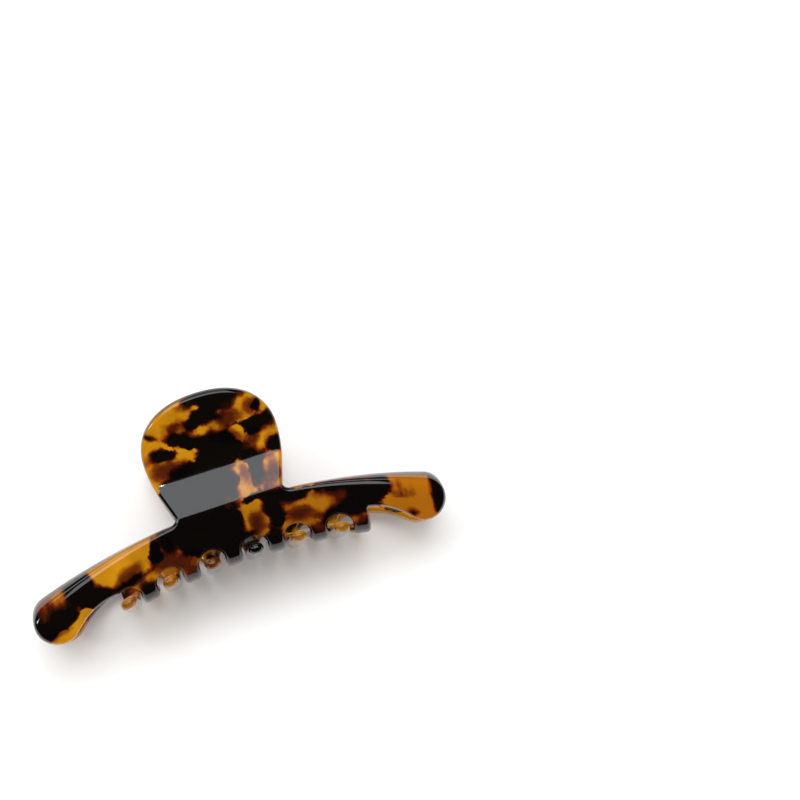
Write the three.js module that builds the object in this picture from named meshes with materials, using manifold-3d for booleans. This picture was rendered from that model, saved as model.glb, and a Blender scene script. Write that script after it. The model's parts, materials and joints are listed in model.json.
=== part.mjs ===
// A sprung claw clip for hair: two identical jaws bent from acetate sheet, hinged back to back on a steel pin.
// The clip is drawn closed and upright (x along its length, y from the teeth up to the finger tabs, z outwards from
// the plane midway between the jaws), then laid on its rear jaw as it rests on a table.
import * as THREE from "three";
import { mergeVertices } from "three/addons/utils/BufferGeometryUtils.js";
import Module from "manifold-3d";

const wasm = await Module();
wasm.setup();

// ---- Driving dimensions, mm and degrees ----
const length = 108; // over the two end lobes
const sheet = 2.8; // acetate sheet thickness
const lengthSteps = 18; // facets along the length

// Side profile of a jaw's outer face, walked from the tip of the tab down to the tip of a tooth. Each stretch turns
// evenly from one heading to the next: 0 heads straight down, positive leans outwards, -90 heads for the other jaw.
const tabTip = { y: 41.4, z: 22.4 };
const tabRun = { length: 14.7, from: -36, to: -22, steps: 5 };
const waistRun = { length: 8, from: -22, to: 12, steps: 6 };
const bandRun = { length: 5, from: 12, to: 12, steps: 1 };
const shoulderRun = { length: 2.8, from: 12, to: -14, steps: 4 };
const barRun = { length: 11, from: -14, to: -26, steps: 4 };
const skirtRun = { length: 13, from: -26, to: -26, steps: 2 };
const rootBend = { length: 6.4, from: -26, to: -92, steps: 6 };
const toothRun = { length: 22, from: -92, to: -94, steps: 2 };

// The jaw bows back towards the other one and droops to a crescent on both sides of its straight middle.
const bowStart = 13; // from here on the bar bows
const bowAtEnd = 4.6; // how far back the end lobes stand
const fallReach = 30; // distance from the middle at which droops and falls are given
const droopAt30 = 2.6; // how far the tooth line has dropped there
const droopFrom = 13.5; // height above which nothing droops
const droopFull = 8; // height below which everything droops

// Front outline
const lobeRadius = 5.7;
const armTopMiddle = 14.2; // height of the arm's upper edge, carried on to the middle
const armTopFall = 3.15; // and how far it has fallen at fallReach
const neckHalfWidth = 13.9; // at the arms
const neckTopHalfWidth = 16.2; // at neckTop
const tabEndHalfWidth = 15.7; // at the lower end of the tab's own outline
const neckFillet = 1.6;
const neckTop = 22; // above this height the tab's own outline takes over
const tabHalfWidth = 17.2;
const tabWidestBelowTip = 14; // measured along the sheet
const tabRoundness = 2.2; // exponent of the tab's rounded end: 2 is an ellipse
const notchTop = { x: 33.4, y: 2.35 }; // where the scoop beside the teeth begins
const notchSag = { x: 38.8, y: 1.4 }; // the scoop's control point
const notchLobeAngle = -135; // where the scoop runs into the lobe

// Teeth
const toothPitch = 11.1;
const teeth = 6;
const firstTooth = -25; // the other jaw's teeth fall halfway between
const toothRootWidth = 4.5;
const toothTipWidth = 3.9;
const toothReach = 13.8; // how far past the middle plane a tip stands
const archWidth = 6.7;
const archTop = 4.9; // height of the arches between the teeth

// Hinge
const pinHeight = 26;
const pinRadius = 1;
const pinHeadRadius = 1.7;
const pinHeadLength = 0.8;
const holeClearance = 0.1; // between the pin and an ear's hole
const pinGap = 0.3; // around the pin, and between glued or stacked faces
const earThickness = 2.6;
const earRadius = 3.3;
const earInner = 6.6; // centre of the ear nearer the spring
const earOuter = 9.6; // centre of the ear on the other side, outside the other jaw's
const earFootLow = 20.5;
const earFootHigh = 29.5;

// Spring
const wireRadius = 0.55;
const coilRadius = 2.7; // centre of the wire
const coilTurns = 7; // less what the legs' lean takes off
const coilPitch = 1.3;
const legLean = 70; // each leg's angle from the middle plane, towards its own tab
const legLength = 15.4;
const wireSides = 6;

const rad = THREE.MathUtils.degToRad;

// ---- Solids ----
function solid(geometry) {
  const bare = geometry.clone();
  bare.deleteAttribute("normal");
  bare.deleteAttribute("uv");
  const merged = mergeVertices(bare, 1e-4);
  return new wasm.Manifold(
    new wasm.Mesh({
      numProp: 3,
      vertProperties: new Float32Array(merged.attributes.position.array),
      triVerts: new Uint32Array(merged.index.array),
    }),
  );
}

function toGeometry(manifold) {
  const mesh = manifold.getMesh();
  const geometry = new THREE.BufferGeometry();
  geometry.setAttribute("position", new THREE.BufferAttribute(mesh.vertProperties, 3));
  geometry.setIndex(new THREE.BufferAttribute(mesh.triVerts, 1));
  geometry.computeVertexNormals();
  return geometry;
}

function extrude(shape, depth, steps = 1, curveSegments = 12) {
  return new THREE.ExtrudeGeometry(shape, { depth, steps, curveSegments, bevelEnabled: false });
}

// A (y, z) outline carried along x, centred on the clip.
function acrossX(points, width, steps) {
  const geometry = extrude(new THREE.Shape(points), width, steps);
  geometry.translate(0, 0, -width / 2);
  geometry.applyMatrix4(new THREE.Matrix4().set(0, 0, 1, 0, 1, 0, 0, 0, 0, 1, 0, 0, 0, 0, 0, 1));
  return geometry;
}

// ---- Side profile ----
// Returns the walked points, each with the outward normal of the sheet there.
function walk(start, runs) {
  const path = [{ y: start.y, z: start.z, heading: rad(runs[0].from) }];
  let { y, z } = start;
  for (const run of runs) {
    const stride = run.length / run.steps;
    for (let i = 0; i < run.steps; i++) {
      const middle = rad(THREE.MathUtils.lerp(run.from, run.to, (i + 0.5) / run.steps));
      y -= stride * Math.cos(middle);
      z += stride * Math.sin(middle);
      path.push({ y, z, heading: rad(THREE.MathUtils.lerp(run.from, run.to, (i + 1) / run.steps)) });
    }
  }
  return path;
}

function inward(point, depth) {
  return new THREE.Vector2(point.y - depth * Math.sin(point.heading), point.z - depth * Math.cos(point.heading));
}

function sheetSection(path) {
  const outer = path.map((point) => new THREE.Vector2(point.y, point.z));
  const inner = path.map((point) => inward(point, sheet)).reverse();
  return [...outer, ...inner];
}

const platePath = walk(tabTip, [tabRun, waistRun, bandRun, shoulderRun, barRun, skirtRun]);
const barEnd = tabRun.steps + waistRun.steps + bandRun.steps + shoulderRun.steps + barRun.steps;
const toothPath = walk(platePath[barEnd - 1], [
  { length: barRun.length / 4, from: barRun.to - (barRun.to - barRun.from) / 4, to: barRun.to, steps: 1 },
  rootBend,
  toothRun,
]);

// ---- Bow and droop ----
const bow = (x) => bowAtEnd * (Math.max(0, Math.abs(x) - bowStart) / (length / 2 - lobeRadius - bowStart)) ** 2;
const droop = (x) => droopAt30 * (x / fallReach) ** 2;

function bend(geometry) {
  const position = geometry.attributes.position;
  for (let i = 0; i < position.count; i++) {
    const x = position.getX(i);
    const y = position.getY(i);
    const share = THREE.MathUtils.clamp((droopFrom - y) / (droopFrom - droopFull), 0, 1);
    position.setY(i, y - share * droop(x));
    position.setZ(i, position.getZ(i) - bow(x));
  }
  return geometry;
}

// ---- Outlines ----
const lobeX = length / 2 - lobeRadius;
const armTop = (x) => armTopMiddle - armTopFall * (x / fallReach) ** 2;
const toothLine = platePath[barEnd].y;

// Bar, arms and lobes from the front; above the shoulder it opens out to let the tab through.
function barShape() {
  const shape = new THREE.Shape();
  const through = 25;
  const open = 60;
  const joinX = lobeX + lobeRadius / 3; // about where the arm runs into the lobe
  const joinAngle = Math.atan2(1, (2 * armTopFall * joinX) / fallReach ** 2);
  const join = lobeX + lobeRadius * Math.cos(joinAngle);
  const armSteps = 8;
  shape.moveTo(through, open);
  shape.lineTo(-through, open);
  shape.lineTo(-through, neckTop);
  for (const side of [-1, 1]) {
    const top = [];
    top.push([side * through, neckTop]);
    top.push([side * neckTopHalfWidth, neckTop]);
    for (let i = 0; i <= 4; i++) {
      const turn = (i / 4) * (Math.PI / 2);
      const x = neckHalfWidth + neckFillet * (1 - Math.cos(turn));
      top.push([side * x, armTop(x) + neckFillet * (1 - Math.sin(turn))]);
    }
    for (let i = 1; i <= armSteps; i++) {
      const x = THREE.MathUtils.lerp(neckHalfWidth + neckFillet, join, i / armSteps);
      top.push([side * x, armTop(x)]);
    }
    const round = 10;
    const endAngle = rad(notchLobeAngle);
    for (let i = 1; i <= round; i++) {
      const turn = THREE.MathUtils.lerp(joinAngle, endAngle, i / round);
      top.push([side * (lobeX + lobeRadius * Math.cos(turn)), lobeRadius * Math.sin(turn)]);
    }
    const scoopStart = top[top.length - 1];
    const scoop = new THREE.QuadraticBezierCurve(
      new THREE.Vector2(...scoopStart),
      new THREE.Vector2(side * notchSag.x, notchSag.y),
      new THREE.Vector2(side * notchTop.x, notchTop.y),
    ).getPoints(8);
    scoop.slice(1).forEach((point) => top.push([point.x, point.y]));
    if (side > 0) top.reverse();
    top.forEach(([x, y]) => shape.lineTo(x, y));
    if (side < 0) {
      const across = 16;
      for (let i = 1; i < across; i++) {
        const x = THREE.MathUtils.lerp(-notchTop.x, notchTop.x, i / across);
        shape.lineTo(x, toothLine - droop(x));
      }
    }
  }
  shape.closePath();
  return shape;
}

// The tab and neck, drawn in the plane of the tab: y runs up the sheet from the tip (0) downwards negative.
function tabShape() {
  const shape = new THREE.Shape();
  const round = 20;
  const clear = 60;
  const neckEnd = -tabRun.length - waistRun.length;
  shape.moveTo(clear, neckEnd - clear);
  shape.lineTo(clear, neckEnd);
  shape.lineTo(tabEndHalfWidth, neckEnd);
  for (let i = 0; i <= 6; i++) {
    const y = THREE.MathUtils.lerp(neckEnd + 1, -tabWidestBelowTip, i / 7);
    const share = (-tabWidestBelowTip - y) / (-tabWidestBelowTip - neckEnd);
    shape.lineTo(tabHalfWidth - (tabHalfWidth - tabEndHalfWidth) * share ** 2, y);
  }
  for (let i = 0; i <= round; i++) {
    const turn = (i / round) * Math.PI;
    const across = Math.sign(Math.cos(turn)) * Math.abs(Math.cos(turn)) ** (2 / tabRoundness);
    const up = Math.abs(Math.sin(turn)) ** (2 / tabRoundness);
    shape.lineTo(tabHalfWidth * across, tabWidestBelowTip * (up - 1));
  }
  for (let i = 6; i >= 0; i--) {
    const y = THREE.MathUtils.lerp(neckEnd + 1, -tabWidestBelowTip, i / 7);
    const share = (-tabWidestBelowTip - y) / (-tabWidestBelowTip - neckEnd);
    shape.lineTo(-(tabHalfWidth - (tabHalfWidth - tabEndHalfWidth) * share ** 2), y);
  }
  shape.lineTo(-tabEndHalfWidth, neckEnd);
  shape.lineTo(-clear, neckEnd);
  shape.lineTo(-clear, neckEnd - clear);
  shape.closePath();
  return shape;
}

// The space between two teeth from the front: a round-topped slot, open below.
function archShape(x) {
  const half = archWidth / 2;
  const spring = archTop - droop(x) - half;
  const shape = new THREE.Shape();
  shape.moveTo(x - half, spring - 20);
  shape.lineTo(x + half, spring - 20);
  shape.absarc(x, spring, half, 0, Math.PI, false);
  shape.closePath();
  return shape;
}

// One tooth from below, as a (z, x) outline: it tapers and ends round.
function toothShape(x) {
  const tip = -(toothReach - bow(x));
  const root = 9;
  const tipHalf = toothTipWidth / 2;
  const rootHalf = toothRootWidth / 2;
  const shape = new THREE.Shape();
  shape.moveTo(root + 2, x - rootHalf);
  shape.lineTo(root + 2, x + rootHalf);
  shape.lineTo(root, x + rootHalf);
  shape.absarc(tip + tipHalf, x, tipHalf, Math.PI / 2, (3 * Math.PI) / 2, false);
  shape.lineTo(root, x - rootHalf);
  shape.closePath();
  return shape;
}

function jawGeometry() {
  const plate = solid(bend(acrossX(sheetSection(platePath), length, lengthSteps)));
  const bar = extrude(barShape(), 80);
  bar.translate(0, 0, -40);
  const tabTilt = rad((tabRun.from + tabRun.to) / 2);
  const tab = extrude(tabShape(), 120);
  tab.translate(0, 0, -60);
  tab.rotateX(-tabTilt);
  tab.translate(0, tabTip.y, tabTip.z);
  const cutPlate = plate.intersect(solid(bar)).intersect(solid(tab));

  const comb = solid(bend(acrossX(sheetSection(toothPath), length, lengthSteps)));
  let keep = null;
  for (let i = 0; i < teeth; i++) {
    const geometry = extrude(toothShape(firstTooth + i * toothPitch), 40, 1, 5);
    geometry.translate(0, 0, -25);
    geometry.applyMatrix4(new THREE.Matrix4().set(0, 1, 0, 0, 0, 0, 1, 0, 1, 0, 0, 0, 0, 0, 0, 1));
    const one = solid(geometry);
    keep = keep ? keep.add(one) : one;
  }
  let jaw = cutPlate.add(comb.intersect(keep));
  for (let i = 0; i < teeth; i++) {
    const arch = extrude(archShape(firstTooth - toothPitch / 2 + i * toothPitch), 60, 1, 7);
    arch.translate(0, 0, -30);
    jaw = jaw.subtract(solid(arch));
  }
  return toGeometry(jaw);
}

// ---- Hinge pieces ----
// An ear stands on the inside of the neck and carries the pin; its foot follows the sheet.
function earGeometry() {
  const foot = platePath
    .map((point) => inward(point, sheet + pinGap))
    .filter((point) => point.x > earFootLow && point.x < earFootHigh);
  const shape = new THREE.Shape();
  shape.moveTo(foot[0].x, foot[0].y);
  foot.slice(1).forEach((point) => shape.lineTo(point.x, point.y));
  shape.absarc(pinHeight, 0, earRadius, Math.PI, 2 * Math.PI, false);
  shape.closePath();
  const hole = new THREE.Path();
  hole.absarc(pinHeight, 0, pinRadius + holeClearance, 0, 2 * Math.PI, true);
  shape.holes.push(hole);
  const geometry = extrude(shape, earThickness, 1, 12);
  geometry.translate(0, 0, -earThickness / 2);
  geometry.applyMatrix4(new THREE.Matrix4().set(0, 0, 1, 0, 1, 0, 0, 0, 0, 1, 0, 0, 0, 0, 0, 1));
  return geometry;
}

// A steel pin with a low round head at each end, turned about its own axis.
function pinGeometry() {
  const half = earOuter + earThickness / 2 + pinGap;
  const end = half + pinHeadLength;
  const profile = [
    [0, -end],
    [pinHeadRadius * 0.7, -end],
    [pinHeadRadius, -half - pinHeadLength * 0.45],
    [pinHeadRadius, -half],
    [pinRadius, -half],
    [pinRadius, half],
    [pinHeadRadius, half],
    [pinHeadRadius, half + pinHeadLength * 0.45],
    [pinHeadRadius * 0.7, end],
    [0, end],
  ].map(([r, y]) => new THREE.Vector2(r, y));
  const geometry = new THREE.LatheGeometry(profile, 20);
  geometry.rotateZ(Math.PI / 2);
  return geometry;
}

// Wound wire: a leg up to one tab, the coil round the pin, and a leg up to the other tab.
class SpringWire extends THREE.Curve {
  getPoint(t, target = new THREE.Vector3()) {
    const legShare = 0.12;
    const startTurn = Math.PI - rad(legLean);
    const endTurn = coilTurns * 2 * Math.PI + rad(legLean);
    const along = THREE.MathUtils.clamp((t - legShare) / (1 - 2 * legShare), 0, 1);
    const turn = THREE.MathUtils.lerp(startTurn, endTurn, along);
    let beyond = 0;
    if (t < legShare) beyond = (t / legShare - 1) * legLength;
    if (t > 1 - legShare) beyond = (1 - (1 - t) / legShare) * legLength;
    const y = coilRadius * Math.sin(turn) + beyond * Math.cos(turn);
    const z = coilRadius * Math.cos(turn) - beyond * Math.sin(turn);
    return target.set(coilTurns * coilPitch * (along - 0.5), y, z);
  }
}

function springGeometry() {
  const section = new THREE.Shape();
  for (let i = 0; i < wireSides; i++) {
    const turn = (i / wireSides) * 2 * Math.PI;
    section.lineTo(wireRadius * Math.cos(turn), wireRadius * Math.sin(turn));
  }
  section.closePath();
  const steps = coilTurns * 18;
  return new THREE.ExtrudeGeometry(section, { steps, extrudePath: new SpringWire(), bevelEnabled: false });
}

// ---- Materials ----
const acetate = () => new THREE.MeshStandardMaterial({ color: 0x7a430c, roughness: 0.08, metalness: 0 });
const steel = () => new THREE.MeshStandardMaterial({ color: 0xb9bcc0, roughness: 0.28, metalness: 1 });

function piece(name, geometry, material) {
  const mesh = new THREE.Mesh(geometry, material);
  mesh.name = name;
  return mesh;
}

// ---- Assembly ----
function jawGroup(side) {
  const group = new THREE.Group();
  group.add(piece(`${side}_jaw`, jawGeometry(), acetate()));
  const left = piece(`${side}_ear_outer`, earGeometry(), acetate());
  left.position.x = -earOuter;
  const right = piece(`${side}_ear_inner`, earGeometry(), acetate());
  right.position.x = earInner;
  group.add(left, right);
  return group;
}

const clip = new THREE.Group();
const frontJaw = jawGroup("front");
const rearJaw = jawGroup("rear");
rearJaw.rotation.y = Math.PI;
const pin = piece("hinge_pin", pinGeometry(), steel());
pin.position.y = pinHeight;
const spring = piece("torsion_spring", springGeometry(), steel());
spring.position.y = pinHeight;
clip.add(frontJaw, rearJaw, pin, spring);

// Laid down, the clip rests on the tip of the rear tab and on the lowest of what is well below it: the front jaw's
// tooth tips, which stand out past the rear jaw. Both jaws are one shape, so one is searched for both.
function restingTilt() {
  const position = frontJaw.children[0].geometry.attributes.position;
  let tilt = Math.PI / 2;
  for (let i = 0; i < position.count; i++) {
    const y = position.getY(i);
    if (y > pinHeight) continue;
    tilt = Math.min(tilt, Math.atan2(tabTip.z - Math.abs(position.getZ(i)), tabTip.y - y));
  }
  return tilt;
}
clip.rotation.x = restingTilt();

const claw = new THREE.Group();
claw.add(clip);
const box = new THREE.Box3().setFromObject(claw, true);
clip.position.set(0, -(box.min.y + box.max.y) / 2, -box.min.z);

export default claw;
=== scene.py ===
import json
import math

import bpy
import numpy as np
from mathutils import Matrix, Vector, noise
from mathutils.geometry import delaunay_2d_cdt


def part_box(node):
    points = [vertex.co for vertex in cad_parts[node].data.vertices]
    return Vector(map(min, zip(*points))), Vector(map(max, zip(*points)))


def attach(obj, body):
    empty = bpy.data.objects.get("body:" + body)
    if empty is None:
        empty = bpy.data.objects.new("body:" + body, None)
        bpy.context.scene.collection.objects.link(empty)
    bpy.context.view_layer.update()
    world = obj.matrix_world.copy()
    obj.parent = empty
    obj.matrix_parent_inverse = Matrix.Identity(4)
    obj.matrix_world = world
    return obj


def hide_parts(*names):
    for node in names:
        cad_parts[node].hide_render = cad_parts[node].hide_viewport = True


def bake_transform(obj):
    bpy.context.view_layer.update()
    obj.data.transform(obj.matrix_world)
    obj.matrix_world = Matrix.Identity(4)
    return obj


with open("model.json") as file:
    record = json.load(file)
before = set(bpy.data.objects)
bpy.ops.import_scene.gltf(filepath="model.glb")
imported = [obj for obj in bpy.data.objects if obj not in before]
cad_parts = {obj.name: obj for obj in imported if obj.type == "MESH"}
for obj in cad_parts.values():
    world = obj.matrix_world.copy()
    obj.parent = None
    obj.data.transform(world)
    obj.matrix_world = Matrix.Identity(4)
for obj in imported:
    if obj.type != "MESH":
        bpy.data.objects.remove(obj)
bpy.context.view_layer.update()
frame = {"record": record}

mm = 0.001  # the clip's own sizes below are in millimetres


# the clip is laid out closed and upright: x along it, y from teeth to finger tabs, z out of the front jaw;
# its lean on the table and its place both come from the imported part
pinLow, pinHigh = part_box("hinge_pin")
pinCentre = (pinLow + pinHigh) / 2
frontNeck = next(m for m in frame["record"]["mounts"] if m["name"] == "front_neck_face")

clip = {
    "length": 108,
    "pinHeight": 26,
    "neckHeading": 12,  # degrees the flat of the neck leans out
}
restingTilt = math.radians(clip["neckHeading"]) - math.atan2(frontNeck["axis"][1], frontNeck["axis"][2])


def toTable(points, turned=False):
    # clip millimetres to metres on the table; turned gives the rear jaw's half turn
    p = np.array(points, float)
    if turned:
        p = p * (-1, 1, -1)
    y = p[..., 1] - clip["pinHeight"]
    z = p[..., 2]
    c, s = math.cos(restingTilt), math.sin(restingTilt)
    out = np.stack([p[..., 0] * mm, (y * c - z * s) * mm, (y * s + z * c) * mm], axis=-1)
    return out + np.array([0, pinCentre.y, pinCentre.z])


# the bent sheet both jaws are made of
sheet = {
    "thickness": 2.8,
    "edgeRound": 1.15,  # radius polished onto every edge
    "toothRound": 1.38,  # nearly half the sheet: the teeth end as beads
    "edgeSteps": 7,
    "outlineStep": 0.4,
    "gridStep": 0.9,
    "walkStep": 0.2,
    # stretches of the side profile from the tip of the tab: length, heading at its start and end
    "tabTip": (41.4, 22.4),
    "tab": (14.7, -36, -22),
    "waist": (8, -22, 12),
    "band": (5, 12, 12),
    "shoulder": (2.8, 12, -14),
    "bar": (11, -14, -26),
    "skirt": (13, -26, -26),
    "rootBend": (6.4, -26, -92),
    "tooth": (22, -92, -94),
    "bowStart": 13,  # out from the middle
    "bowAtEnd": 4.6,
    "fallReach": 30,  # how far out the droop and the arm's fall are measured
    "droop": 2.6,
    "droopFrom": 13.5,  # height where the droop begins, and where it is full
    "droopFull": 8,
    "heightRounds": 40,  # rounds that settle a height on the drooping sheet
    "beadFrom": 4,  # below the bar, where the edges start to get fuller
    "beadOver": 6,
}
jaw = {
    "lobeRadius": 5.7,
    "joinPart": 3,  # the arm runs into the lobe a third of its radius past its middle
    "armTop": 14.2,
    "armFall": 3.15,
    "tabEndHalfWidth": 15.7,
    "neckHalfWidth": 13.9,  # at the arms
    "neckFillet": 1.6,
    "tabHalfWidth": 17.2,
    "tabWidest": 14,  # down from the tip, along the sheet
    "tabRoundness": 2.2,
    "notchSag": (38.8, 1.4),
    "notchCorner": (0.35, 2.5),  # out from the last tooth's root, and its height
    "lobeEndAngle": -135,
    "toothPitch": 11.1,
    "teeth": 6,
    "firstTooth": -25,
    "toothRootHalf": 2.2,
    "toothRootDown": 1,  # below the bar
    "toothTipHalf": 1.95,
    "toothReach": 13.8,
    "toothRoom": 0.5,  # beside the last tooth, still bent as the teeth are
    "archHalf": 3.35,
    "archTop": 4.9,
    "endArchTurn": 118,  # degrees; the outermost arch stops short
}
# points along each stretch of the outline
outlineSteps = {"round": 60, "neck": 16, "fillet": 14, "scoop": 24, "tip": 18, "arch": 20}


def walk(start, stretches):
    # rows of (length so far, y, z, heading) down the outer face
    y, z = start
    rows = [(0.0, y, z, math.radians(stretches[0][1]))]
    total = 0.0
    for length, headStart, headEnd in stretches:
        steps = max(2, round(length / sheet["walkStep"]))
        stride = length / steps
        turn = headEnd - headStart
        for i in range(steps):
            middle = math.radians(headStart + turn * (i + 0.5) / steps)
            y -= stride * math.cos(middle)
            z += stride * math.sin(middle)
            total += stride
            rows.append((total, y, z, math.radians(headStart + turn * (i + 1) / steps)))
    return np.array(rows)


toBar = [sheet[k] for k in ("tab", "waist", "band", "shoulder", "bar")]
platePath = walk(sheet["tabTip"], toBar + [sheet["skirt"]])
toothPath = walk(sheet["tabTip"], toBar + [sheet["rootBend"], sheet["tooth"]])
barLength = sum(s[0] for s in toBar)
lobeX = clip["length"] / 2 - jaw["lobeRadius"]
lastToothX = jaw["firstTooth"] + (jaw["teeth"] - 1) * jaw["toothPitch"]
toothZone = lastToothX + jaw["toothRootHalf"] + jaw["toothRoom"]


def bow(x):
    beyond = np.maximum(0, np.abs(x) - sheet["bowStart"])
    return sheet["bowAtEnd"] * (beyond / (lobeX - sheet["bowStart"])) ** 2


def droop(x):
    return sheet["droop"] * (np.asarray(x) / sheet["fallReach"]) ** 2


def droopShare(y):
    t = np.clip((sheet["droopFrom"] - y) / (sheet["droopFrom"] - sheet["droopFull"]), 0, 1)
    return t * t * (3 - 2 * t)


def onSheet(x, down, depth):
    # flat cut-out to bent jaw: x, distance down from the tab's tip, depth into the sheet
    x, down, depth = (np.asarray(a, float) for a in (x, down, depth))
    out = []
    for path in (platePath, toothPath):
        y, z, heading = (np.interp(down, path[:, 0], path[:, k]) for k in (1, 2, 3))
        out.append((y - depth * np.sin(heading), z - depth * np.cos(heading)))
    isTooth = (np.abs(x) < toothZone) & (down > barLength)
    y = np.where(isTooth, out[1][0], out[0][0])
    z = np.where(isTooth, out[1][1], out[0][1])
    return np.stack([x, y - droopShare(y) * droop(x), z - bow(x)], axis=-1)


def downOf(x, height):
    # how far down the sheet a point at that height in front view lies
    y = height
    for _ in range(sheet["heightRounds"]):
        y = 0.5 * y + 0.5 * (height + droopShare(y) * droop(x))
    return float(np.interp(-y, -platePath[:, 1], platePath[:, 0]))


def smoothCurve(start, control, end, steps):
    t = np.linspace(0, 1, steps)[:, None]
    a, b, c = (np.array(p, float) for p in (start, control, end))
    return (1 - t) ** 2 * a + 2 * t * (1 - t) * b + t * t * c


def evenly(points, step):
    # the same closed loop with evenly spaced points
    p = np.array(points, float)
    p = np.vstack([p, p[:1]])
    seg = np.hypot(*np.diff(p, axis=0).T)
    apart = seg > 1e-6
    p, seg = p[np.concatenate([[True], apart])], seg[apart]
    along = np.concatenate([[0], np.cumsum(seg)])
    count = int(round(along[-1] / step))
    want = np.linspace(0, along[-1], count, endpoint=False)
    return np.stack([np.interp(want, along, p[:, k]) for k in (0, 1)], axis=1)


def armHeight(x):
    return jaw["armTop"] - jaw["armFall"] * (x / sheet["fallReach"]) ** 2


def topRight():
    # tab tip, round the tab, down the neck and along the arm to the end of the lobe: (x, down)
    points = []
    widest, half = jaw["tabWidest"], jaw["tabHalfWidth"]
    power = 2 / jaw["tabRoundness"]
    for t in np.linspace(math.pi / 2, 0, outlineSteps["round"]):
        points.append((half * math.cos(t) ** power, widest * (1 - math.sin(t) ** power)))
    neckEnd = sheet["tab"][0] + sheet["waist"][0]
    for down in np.linspace(widest, neckEnd, outlineSteps["neck"])[1:]:
        share = (down - widest) / (neckEnd - widest)
        points.append((half - (half - jaw["tabEndHalfWidth"]) * share**2, down))
    neck, fillet = jaw["neckHalfWidth"], jaw["neckFillet"]
    for t in np.linspace(0, math.pi / 2, outlineSteps["fillet"]):
        x = neck + fillet * (1 - math.cos(t))
        points.append((x, downOf(x, armHeight(x) + fillet * (1 - math.sin(t)))))
    joinX = lobeX + jaw["lobeRadius"] / jaw["joinPart"]
    joinAngle = math.atan2(1, 2 * jaw["armFall"] * joinX / sheet["fallReach"] ** 2)
    join = lobeX + jaw["lobeRadius"] * math.cos(joinAngle)
    for x in np.linspace(neck + fillet, join, outlineSteps["round"])[1:]:
        points.append((x, downOf(x, armHeight(x))))
    for t in np.linspace(joinAngle, math.radians(jaw["lobeEndAngle"]), outlineSteps["round"])[1:]:
        x = lobeX + jaw["lobeRadius"] * math.cos(t)
        points.append((x, downOf(x, jaw["lobeRadius"] * math.sin(t))))
    return points


def frontCurve(curve, side):
    return [(side * x, downOf(x, y)) for x, y in curve]


def jawOutline():
    right = topRight()
    lobeEnd = math.radians(jaw["lobeEndAngle"])
    lobe = [lobeX + jaw["lobeRadius"] * math.cos(lobeEnd), jaw["lobeRadius"] * math.sin(lobeEnd)]
    points = list(right)
    # right scoop runs up into the side of the last tooth
    cornerOut, cornerHeight = jaw["notchCorner"]
    corner = (lastToothX + jaw["toothRootHalf"] + cornerOut, cornerHeight)
    points += frontCurve(smoothCurve(lobe, jaw["notchSag"], corner, outlineSteps["scoop"]), 1)[1:]
    root, tip, archHalf = jaw["toothRootHalf"], jaw["toothTipHalf"], jaw["archHalf"]
    rootDown = barLength + jaw["toothRootDown"]
    for i in reversed(range(jaw["teeth"])):
        x = jaw["firstTooth"] + i * jaw["toothPitch"]
        reach = jaw["toothReach"] - 2 * float(bow(x))
        tipDown = float(np.interp(reach, -toothPath[:, 2], toothPath[:, 0]))
        archX = x - jaw["toothPitch"] / 2
        archMiddle = downOf(archX, jaw["archTop"] - float(droop(archX))) + archHalf
        points += [(x + root, rootDown)]
        for t in np.linspace(0, math.pi, outlineSteps["tip"]):
            points.append((x + tip * math.cos(t), tipDown - tip + tip * math.sin(t)))
        points += [(x - root, archMiddle)]
        last = math.radians(180 if i else jaw["endArchTurn"])
        for t in np.linspace(0, last, outlineSteps["arch"])[1:]:
            points.append((archX + archHalf * math.cos(t), archMiddle - archHalf * math.sin(t)))
    # left scoop starts from the rounding over the first arch
    endX, endDown = points[-1]
    endHeight = float(onSheet(endX, endDown, 0)[1])
    scoop = smoothCurve((-endX, endHeight), jaw["notchSag"], lobe, outlineSteps["scoop"])
    points += frontCurve(scoop, -1)[1:]
    points += [(-x, down) for x, down in reversed(right)][1:-1]
    return evenly(points, sheet["outlineStep"])


def inside(points, loops):
    # even-odd test of many points against closed loops
    x, y = points[:, 0], points[:, 1]
    odd = np.zeros(len(points), bool)
    for loop in loops:
        a, b = loop, np.roll(loop, -1, axis=0)
        for (ax, ay), (bx, by) in zip(a, b):
            if ay == by:
                continue
            crosses = (ay > y) != (by > y)
            odd ^= crosses & (x < (bx - ax) * (y - ay) / (by - ay) + ax)
    return odd


def turnOf(loop):
    # above 0 where the loop runs anticlockwise
    x, y = loop[:, 0], loop[:, 1]
    return np.sum(x * np.roll(y, -1) - np.roll(x, -1) * y)


def outward2d(loop, isHole):
    # unit normals out of the material at each point of a loop
    tangent = np.roll(loop, -1, axis=0) - np.roll(loop, 1, axis=0)
    normal = np.stack([tangent[:, 1], -tangent[:, 0]], axis=1)
    normal /= np.linalg.norm(normal, axis=1)[:, None]
    return normal * (1 if (turnOf(loop) > 0) != isHole else -1)


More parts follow.
